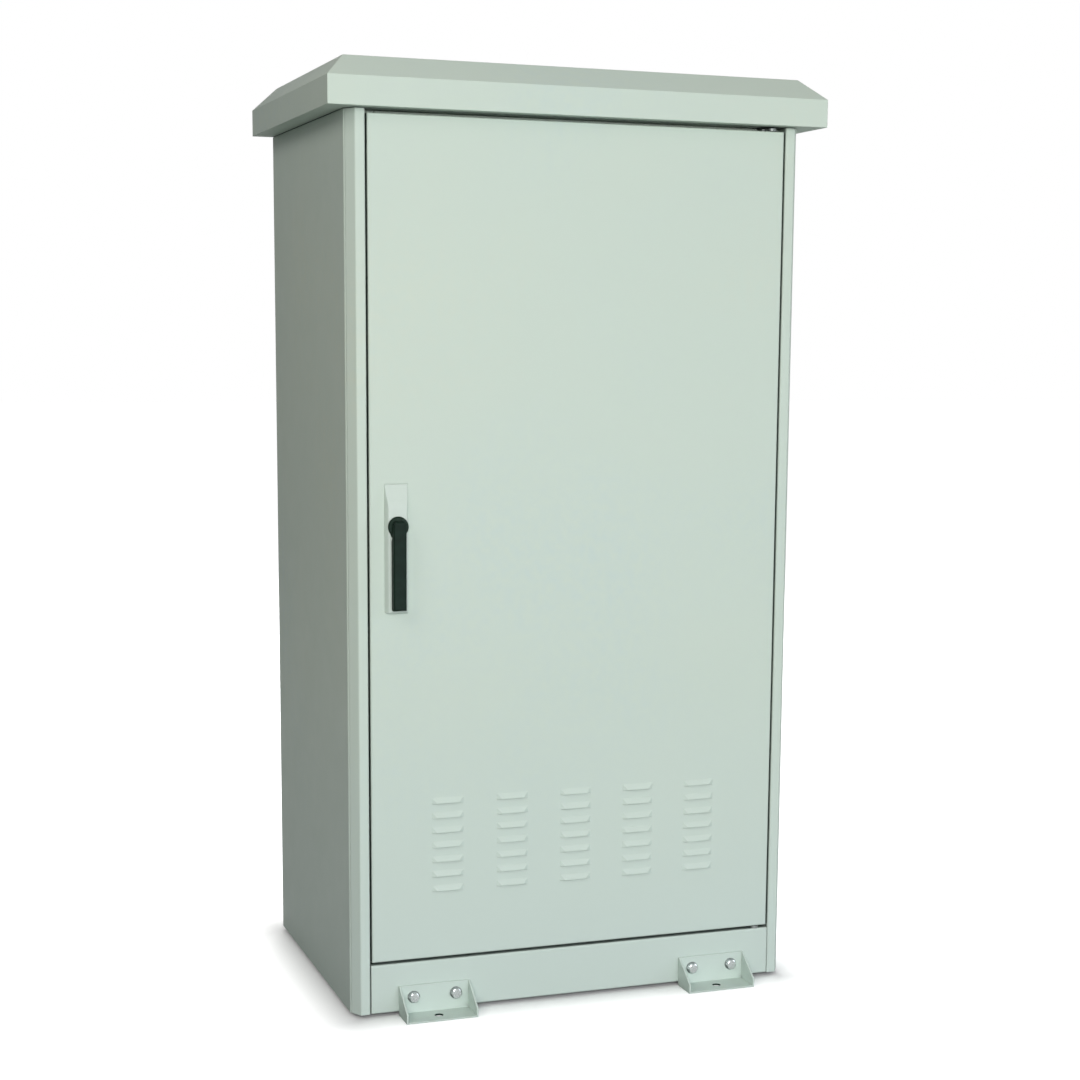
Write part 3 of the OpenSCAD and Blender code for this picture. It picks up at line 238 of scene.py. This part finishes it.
def maths(tree, operation, a, b=None, clamp=False):
    """The result of a math node; a is an output, b an output or a number."""
    node = tree.nodes.new("ShaderNodeMath")
    node.operation = operation
    node.use_clamp = clamp
    tree.links.new(a, node.inputs[0])
    if isinstance(b, float):
        node.inputs[1].default_value = b
    elif b is not None:
        tree.links.new(b, node.inputs[1])
    return node.outputs["Value"]


def bump(tree, shader, height, strength, distance, below=None):
    """Bump from a height, on top of another normal; it becomes the shader's normal."""
    node = tree.nodes.new("ShaderNodeBump")
    node.inputs["Strength"].default_value = strength
    node.inputs["Distance"].default_value = distance
    tree.links.new(height, node.inputs["Height"])
    if below:
        tree.links.new(below, node.inputs["Normal"])
    tree.links.new(node.outputs["Normal"], shader.inputs["Normal"])
    return node.outputs["Normal"]


def grain(tree, shader, coord, scale, strength, distance, detail=2.0, below=None):
    """Bump from a noise."""
    return bump(tree, shader, noise(tree, coord, scale, detail), strength, distance, below)


def uneven_gloss(tree, shader, coord, scale, low, high, detail=3.0):
    """Roughness that wanders between two values."""
    rough = spread(tree, noise(tree, coord, scale, detail), low, high)
    tree.links.new(rough, shader.inputs["Roughness"])


def soft_edge(tree, radius):
    """The normal rounded over each edge, and how near an edge is: 0 on a face, 1 on the edge."""
    edge = tree.nodes.new("ShaderNodeBevel")
    edge.samples = EDGE_SAMPLES
    edge.inputs["Radius"].default_value = radius
    flat = tree.nodes.new("ShaderNodeNewGeometry")
    same = tree.nodes.new("ShaderNodeVectorMath")
    same.operation = "DOT_PRODUCT"
    tree.links.new(edge.outputs["Normal"], same.inputs[0])
    tree.links.new(flat.outputs["True Normal"], same.inputs[1])
    near = spread(tree, same.outputs["Value"], 1.0, 0.0, EDGE_WEAR_AND_SHEEN_FULL, EDGE_CLEAR)
    return edge.outputs["Normal"], near


def painted_gap_shade(tree, color, reach, dark=PAINTED_SHADE):
    """The colour with painted shade, going dark deep in gaps narrower than about twice the reach.
    """
    sky = tree.nodes.new("ShaderNodeAmbientOcclusion")
    sky.samples = GAP_SAMPLES
    sky.inputs["Distance"].default_value = reach
    clear = spread(tree, sky.outputs["AO"], 0.0, 1.0, GAP_DARK, GAP_CLEAR)
    return mix(tree, clear, dark, color)


def from_corner(tree, coord, corner, clamp):
    """Distance in plan from four mirrored corners or, clamped, from the rectangle between them."""
    split = tree.nodes.new("ShaderNodeSeparateXYZ")
    tree.links.new(coord, split.inputs["Vector"])
    join = tree.nodes.new("ShaderNodeCombineXYZ")
    for axis, half in zip("XY", corner):
        size = maths(tree, "ABSOLUTE", split.outputs[axis])
        past = maths(tree, "SUBTRACT", size, half, clamp)
        tree.links.new(past, join.inputs[axis])
    gap = tree.nodes.new("ShaderNodeVectorMath")
    gap.operation = "LENGTH"
    tree.links.new(join.outputs["Vector"], gap.inputs[0])
    return gap.outputs["Value"]


def height_share(tree, coord, low, high):
    """1 below a height, 0 above another."""
    split = tree.nodes.new("ShaderNodeSeparateXYZ")
    tree.links.new(coord, split.inputs["Vector"])
    return spread(tree, split.outputs["Z"], 1.0, 0.0, low, high)


def powder_coat(name, base, warm, cool, wear_and_sheen, rough=0.46, reach=0.014, foot=None, holes=None):
    """Satin powder coat: drifting colour, orange peel, edges paler with wear and painted highlight,
    painted shade in gaps and hole walls, and, if given, a bluer foot as painted bounce light.
    """
    mat, tree, shader, coord = material(name)
    color = mix(tree, cloud(tree, coord, scale=1.7, detail=3.0), cool, warm)
    color = mix(tree, cloud(tree, coord, scale=60.0), color, base)
    # Painted light: the paint turns bluer towards the foot, as if lit by cool light from the floor
    if foot:
        color = mix(tree, height_share(tree, coord, BOUNCE_TINT_FROM, BOUNCE_TINT_TO), color, foot)
    normal, edge = soft_edge(tree, EDGE_ROUND)
    # Paler edges: part wear and part painted highlight where edges catch light
    color = mix(tree, edge, color, wear_and_sheen)
    if holes:
        # Painted shade: the walls of the anchor holes take the dark shade colour
        wall = from_corner(tree, coord, holes, clamp=False)
        color = mix(tree, spread(tree, wall, 0.0, 1.0, HOLE_DARK, HOLE_CLEAR), PAINTED_SHADE, color)
    # Painted shade: the coat goes dark deep in gaps, under parts and round raised pieces
    tree.links.new(painted_gap_shade(tree, color, reach), shader.inputs["Base Color"])
    uneven_gloss(tree, shader, coord, scale=24.0, low=rough - 0.05, high=rough + 0.06)
    peel = grain(tree, shader, coord, scale=420.0, strength=0.10, distance=0.0006, below=normal)
    grain(tree, shader, coord, scale=1900.0, strength=0.06, distance=0.0002, detail=1.0, below=peel)
    shader.inputs["Specular IOR Level"].default_value = PAINT_SPECULAR
    return mat


def satin_black(name, base):
    """Glass-filled plastic, rubbed a little lighter in patches."""
    mat, tree, shader, coord = material(name)
    color = mix(tree, cloud(tree, coord, scale=90.0), base, shade(base, 1.5))
    # Painted shade: the black goes darker deep in recesses and under parts
    color = painted_gap_shade(tree, color, reach=0.005, dark=shade(base, 0.15))
    tree.links.new(color, shader.inputs["Base Color"])
    uneven_gloss(tree, shader, coord, scale=220.0, low=0.40, high=0.52)
    grain(tree, shader, coord, scale=2600.0, strength=0.12, distance=0.0002)
    shader.inputs["Specular IOR Level"].default_value = BLACK_SPECULAR
    return mat


def zinc_plate(name, base, rough=0.17):
    """Zinc on steel, clouded by handling, with painted shade in its corners."""
    mat, tree, shader, coord = material(name)
    color = mix(tree, cloud(tree, coord, scale=130.0), shade(base, 0.86), shade(base, 1.06))
    # Painted shade: darker deep in corners and under parts
    color = painted_gap_shade(tree, color, reach=0.006, dark=shade(base, 0.08))
    tree.links.new(color, shader.inputs["Base Color"])
    uneven_gloss(tree, shader, coord, scale=500.0, low=rough, high=rough + 0.16)
    grain(tree, shader, coord, scale=1500.0, strength=0.10, distance=0.0002)
    shader.inputs["Metallic"].default_value = 1.0
    return mat


def galvanised_sheet(name, base, cells=95.0):
    """Hot-dip zinc with its crystal spangle, as so many cells to the metre."""
    mat, tree, shader, coord = material(name)
    crystals = tree.nodes.new("ShaderNodeTexVoronoi")
    crystals.inputs["Scale"].default_value = cells
    tree.links.new(coord, crystals.inputs["Vector"])
    grey = tree.nodes.new("ShaderNodeRGBToBW")
    tree.links.new(crystals.outputs["Color"], grey.inputs["Color"])
    spangle = grey.outputs["Val"]
    color = mix(tree, spangle, shade(base, 0.74), shade(base, 1.22))
    tree.links.new(color, shader.inputs["Base Color"])
    rough = spread(tree, spangle, 0.44, 0.60, from_low=0.0, from_high=1.0)
    tree.links.new(rough, shader.inputs["Roughness"])
    grain(tree, shader, coord, scale=700.0, strength=0.06, distance=0.0003)
    shader.inputs["Metallic"].default_value = 1.0
    return mat


def moulded(name, base, rough=0.5, fineness=900.0):
    """Plastic, rubber or foam with a fine grain from its mould."""
    mat, tree, shader, coord = material(name)
    color = mix(tree, cloud(tree, coord, scale=40.0), shade(base, 0.85), shade(base, 1.2))
    tree.links.new(color, shader.inputs["Base Color"])
    uneven_gloss(tree, shader, coord, scale=150.0, low=rough - 0.06, high=rough + 0.08)
    grain(tree, shader, coord, scale=fineness, strength=0.15, distance=0.0003)
    return mat


def fibre_mat(name, base, fineness=300.0, squeeze=7.0):
    """Crossed fibres: noise squeezed along the height and along the width."""
    mat, tree, shader, coord = material(name)
    strands = [
        noise(tree, coord, fineness, detail=4.0, rough=0.65, stretch=stretch)
        for stretch in ((1.0, 1.0, squeeze), (squeeze, 1.0, 1.0))
    ]
    height = maths(tree, "MAXIMUM", *strands)
    color = mix(tree, spread(tree, height, 0.0, 1.0), shade(base, 0.45), shade(base, 1.7))
    tree.links.new(color, shader.inputs["Base Color"])
    shader.inputs["Roughness"].default_value = 0.95
    bump(tree, shader, height, strength=0.8, distance=0.0015)
    return mat


# Finish of each material slot
MATERIALS = {
    "paint": powder_coat(
        "powder_coat", PAINT, PAINT_WARM, PAINT_COOL, PAINT_EDGE_WEAR_AND_SHEEN, foot=PAINT_FOOT_BOUNCE_TINT
    ),
    "galvanised": galvanised_sheet("galvanised_sheet", GALVANISED),
    "zinc": zinc_plate("zinc_plate", ZINC),
    "handle_black": satin_black("satin_black", HANDLE),
    "black_plastic": moulded("black_plastic", PLASTIC),
    "rubber": moulded("rubber", RUBBER, rough=0.72, fineness=600.0),
    "foam": moulded("foam_rubber", FOAM, rough=0.85, fineness=1400.0),
    "filter_mat": fibre_mat("fibre_mat", FIBRE),
}

# Nodes whose finish differs a little from the rest of their slot
OWN = {
    # Painted highlight: the housing's edges are made paler still; painted shade only in its
    # tightest gaps
    "lock_housing": powder_coat(
        "cast_housing", CAST, CAST, shade(CAST, 0.97), shade(CAST, 1.1), rough=0.38, reach=0.003
    ),
    # Painted highlight: the boss is a lighter black than the lever, for the light its rim catches
    "lock_spindle": satin_black("boss_black_lit", BOSS_LIT),
    # Painted shade: the washers are dark zinc, standing in for the shaded ring round each bolt head
    "bracket_washers": zinc_plate("shaded_zinc", ZINC_WASHER_SHADE, rough=0.42),
}
HINGE_ZINC = zinc_plate("dull_zinc", DULL_ZINC, rough=0.42)
HINGE_PARTS = ("hinge_bracket_top", "hinge_pin_top", "hinge_bracket_bottom")
OWN.update(dict.fromkeys(HINGE_PARTS, HINGE_ZINC))
ROTOR_PLASTIC = moulded("rotor_plastic", ROTOR, rough=0.40)
OWN.update(dict.fromkeys(("fan_rotor_left", "fan_rotor_right"), ROTOR_PLASTIC))
# Painted light: the brackets take the bluer foot colour all over, with painted shade in their
# anchor holes
BRACKET_COAT = powder_coat(
    "bracket_coat", PAINT_FOOT_BOUNCE_TINT, PAINT_FOOT_BOUNCE_TINT, shade(PAINT_FOOT_BOUNCE_TINT, 0.97), PAINT_EDGE_WEAR_AND_SHEEN, holes=ANCHOR_AT
)
OWN.update(dict.fromkeys(BRACKETS, BRACKET_COAT))


def dress(obj, mat):
    """Gives an object one material."""
    obj.data.materials.clear()
    obj.data.materials.append(mat)


def soften(obj, width):
    """Rounds the sharp edges of a CAD node a little, as paint and press tools do."""
    weld = obj.modifiers.new("weld", "WELD")
    weld.merge_threshold = WELD_WITHIN
    edge = obj.modifiers.new("soft_edges", "BEVEL")
    edge.width = width
    edge.segments = EDGE_SEGMENTS
    edge.limit_method = "ANGLE"
    edge.angle_limit = math.radians(EDGE_ANGLE)
    edge.use_clamp_overlap = True
    edge.harden_normals = True


def soft_piece(name, node, bm):
    """A modelled soft piece on the door, in place of its plain CAD solid."""
    bmesh.ops.recalc_face_normals(bm, faces=bm.faces)
    mesh = bpy.data.meshes.new(name)
    bm.to_mesh(mesh)
    bm.free()
    for face in mesh.polygons:
        face.use_smooth = True
    piece = bpy.data.objects.new(name, mesh)
    SCENE.collection.objects.link(piece)
    dress(piece, MATERIALS[SLOTS[node]])
    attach(piece, "door")
    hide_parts(node)


def rounded_loop(low, high, radius, step):
    """Points and outward directions round a rectangle with round corners, in its own plane."""
    corners = (
        (high[0] - radius, high[1] - radius, 0.0),
        (low[0] + radius, high[1] - radius, 90.0),
        (low[0] + radius, low[1] + radius, 180.0),
        (high[0] - radius, low[1] + radius, 270.0),
    )
    loop = []
    for i, (x, z, start) in enumerate(corners):
        for k in range(CORNER_STEPS + 1):
            turn = math.radians(start + 90.0 * k / CORNER_STEPS)
            out = (math.cos(turn), math.sin(turn))
            loop.append(((x + radius * out[0], z + radius * out[1]), out))
        next_x, next_z, _ = corners[(i + 1) % len(corners)]
        here, out = loop[-1]
        end = (next_x + radius * out[0], next_z + radius * out[1])
        count = int(math.dist(here, end) / step)
        for k in range(1, count):
            at = tuple(a + k / count * (b - a) for a, b in zip(here, end))
            loop.append((at, out))
    return loop


def dome_outline():
    """Section of the bead as shares of its width and height: flat foot, short walls and a dome."""
    outline = [(0.0, 0.0), (0.0, DOME_FROM)]
    for angle in range(DOME_STEP, 180, DOME_STEP):
        turn = math.radians(angle)
        outline.append((0.5 - 0.5 * math.cos(turn), DOME_FROM + (1.0 - DOME_FROM) * math.sin(turn)))
    return outline + [(1.0, DOME_FROM), (1.0, 0.0)]


def build_gasket():
    """Foam bead cast on the door: stuck flat, domed to the frame, dipped where its ends meet."""
    low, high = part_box("door_gasket")
    tall = high[1] - low[1]
    loop = rounded_loop((low[0], low[2]), (high[0], high[2]), GASKET_CORNER, GASKET_STEP)
    wave = random.Random(BEAD_SEED)
    joint = ((low[0] + high[0]) / 2, low[2])
    section = dome_outline()
    bm = bmesh.new()
    rings = []
    for at, out in loop:
        lift = tall - BEAD_WAVE * wave.random()
        lift -= JOINT_DIP * math.exp(-((math.dist(at, joint) / JOINT_REACH) ** 2))
        ring = []
        for across, up in section:
            x = at[0] - out[0] * across * GASKET_W
            z = at[1] - out[1] * across * GASKET_W
            ring.append(bm.verts.new((x, low[1] + up * lift, z)))
        rings.append(ring)
    for ring, after in zip(rings, rings[1:] + rings[:1]):
        for k in range(len(section)):
            j = (k + 1) % len(section)
            bm.faces.new((ring[k], ring[j], after[j], after[k]))
    soft_piece("gasket_bead", "door_gasket", bm)


def build_filter_pad():
    """Fibre mat: pinched under the frame's lip and tufted in its window."""
    low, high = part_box("filter_pad")
    wide, _, tall = (b - a for a, b in zip(low, high))
    across = max(2, round(wide / PAD_STEP))
    up = max(2, round(tall / PAD_STEP))
    tuft = random.Random(PAD_SEED)
    bm = bmesh.new()
    grids = []
    for side in (0, 1):
        grid = []
        for i in range(across + 1):
            row = []
            for k in range(up + 1):
                x = low[0] + wide * i / across
                z = low[2] + tall * k / up
                rim = min(x - low[0], high[0] - x, z - low[2], high[2] - z) / PAD_RIM
                pinch = PAD_PINCH * max(0.0, 1.0 - rim) ** 2
                drop = pinch + PAD_TUFT * tuft.random() * min(1.0, rim)
                y = low[1] + drop if side == 0 else high[1] - drop
                row.append(bm.verts.new((x, y, z)))
            grid.append(row)
        grids.append(grid)
        for i in range(across):
            for k in range(up):
                bm.faces.new((grid[i][k], grid[i + 1][k], grid[i + 1][k + 1], grid[i][k + 1]))
    edge = [(i, 0) for i in range(across)] + [(across, k) for k in range(up)]
    edge += [(i, up) for i in range(across, 0, -1)] + [(0, k) for k in range(up, 0, -1)]
    front, rear = grids
    for (a, b), (c, d) in zip(edge, edge[1:] + edge[:1]):
        bm.faces.new((front[a][b], front[c][d], rear[c][d], rear[a][b]))
    soft_piece("filter_fibres", "filter_pad", bm)


def colored(tree, kind, color):
    """A new shader node of one colour."""
    node = tree.nodes.new(kind)
    node.inputs["Color"].default_value = (*color, 1.0)
    return node


def show_where_seen(tree, out, lights, seen):
    """One shader as a source of light; another to the camera, through glass and partly in gloss."""
    rays = tree.nodes.new("ShaderNodeLightPath")
    share = maths(tree, "MULTIPLY", rays.outputs["Is Glossy Ray"], GLOSS_SHARE)
    for name in ("Is Camera Ray", "Is Transmission Ray"):
        share = maths(tree, "MAXIMUM", share, rays.outputs[name])
    blend = tree.nodes.new("ShaderNodeMixShader")
    tree.links.new(share, blend.inputs["Fac"])
    tree.links.new(lights, blend.inputs[1])
    tree.links.new(seen, blend.inputs[2])
    tree.links.new(blend.outputs["Shader"], out.inputs["Surface"])


def floor_glow_with_painted_shadow(tree):
    """Strength of the floor's own white: none under the object's foot, full a little way off, a
    painted shadow round the foot.
    """
    coord = tree.nodes.new("ShaderNodeTexCoord")
    gap = from_corner(tree, coord.outputs["Object"], FLOOR_SHADOW_HALF, clamp=True)
    return spread(tree, gap, 0.0, FLOOR_GLOW, 0.0, FLOOR_SHADOW_FADE)


def build_floor():
    """A pale floor: white where it is seen, with the object's shadow from the lamps and a painted
    shadow round its foot, duller as a light.
    """
    mesh = bpy.data.meshes.new("floor")
    bm = bmesh.new()
    bmesh.ops.create_grid(bm, x_segments=1, y_segments=1, size=FLOOR_HALF)
    bm.to_mesh(mesh)
    bm.free()
    floor = bpy.data.objects.new("floor", mesh)
    SCENE.collection.objects.link(floor)
    mat = bpy.data.materials.new("floor")
    mat.use_nodes = True
    tree = mat.node_tree
    tree.nodes.clear()
    out = tree.nodes.new("ShaderNodeOutputMaterial")
    dull = colored(tree, "ShaderNodeBsdfDiffuse", FLOOR_BOUNCE)
    white = colored(tree, "ShaderNodeBsdfDiffuse", WHITE)
    glow = colored(tree, "ShaderNodeEmission", WHITE)
    tree.links.new(floor_glow_with_painted_shadow(tree), glow.inputs["Strength"])
    pale = tree.nodes.new("ShaderNodeAddShader")
    tree.links.new(white.outputs["BSDF"], pale.inputs[0])
    tree.links.new(glow.outputs["Emission"], pale.inputs[1])
    show_where_seen(tree, out, dull.outputs["BSDF"], pale.outputs["Shader"])
    mesh.materials.append(mat)


def build_world():
    """White behind the object, and a softer light from all round."""
    world = bpy.data.worlds.new("studio")
    SCENE.world = world
    world.use_nodes = True
    tree = world.node_tree
    tree.nodes.clear()
    out = tree.nodes.new("ShaderNodeOutputWorld")
    light = colored(tree, "ShaderNodeBackground", WHITE)
    light.inputs["Strength"].default_value = AMBIENT
    white = colored(tree, "ShaderNodeBackground", WHITE)
    show_where_seen(tree, out, light.outputs["Background"], white.outputs["Background"])


def area_light(name, at, target, size, power, color):
    """A rectangular lamp that faces its target."""
    data = bpy.data.lights.new(name, "AREA")
    data.shape = "RECTANGLE"
    data.size, data.size_y = size
    data.energy = power
    data.color = color
    lamp = bpy.data.objects.new(name, data)
    SCENE.collection.objects.link(lamp)
    lamp.location = at
    lamp.visible_glossy = name not in NO_GLOSS
    lamp.rotation_euler = (Vector(target) - Vector(at)).to_track_quat("-Z", "Y").to_euler()


def build_camera():
    """The camera as solved: turned to the right, tipped down and rolled."""
    turn, down, roll = (math.radians(a) for a in (CAMERA_TURN, CAMERA_DOWN, CAMERA_ROLL))
    level = math.cos(down)
    ahead = Vector((math.sin(turn) * level, math.cos(turn) * level, -math.sin(down)))
    right = Vector((math.cos(turn), -math.sin(turn), 0.0))
    up = right.cross(ahead)
    right, up = (
        math.cos(roll) * right + math.sin(roll) * up,
        math.cos(roll) * up - math.sin(roll) * right,
    )
    data = bpy.data.cameras.new("camera")
    data.sensor_fit = "HORIZONTAL"
    data.sensor_width = SENSOR
    data.lens = LENS
    data.shift_x, data.shift_y = SHIFT
    data.clip_end = FAR_CLIP
    camera = bpy.data.objects.new("camera", data)
    SCENE.collection.objects.link(camera)
    rotation = Matrix((right, up, -ahead)).transposed()
    camera.matrix_world = Matrix.Translation(CAMERA_AT) @ rotation.to_4x4()
    SCENE.camera = camera


for node, obj in NODES.items():
    dress(obj, OWN.get(node, MATERIALS[SLOTS[node]]))
    if node in EDGES:
        soften(obj, EDGES[node])
build_gasket()
build_filter_pad()
build_floor()
build_world()
for lamp in LAMPS:
    area_light(*lamp)
build_camera()
SCENE.view_settings.view_transform = "Standard"
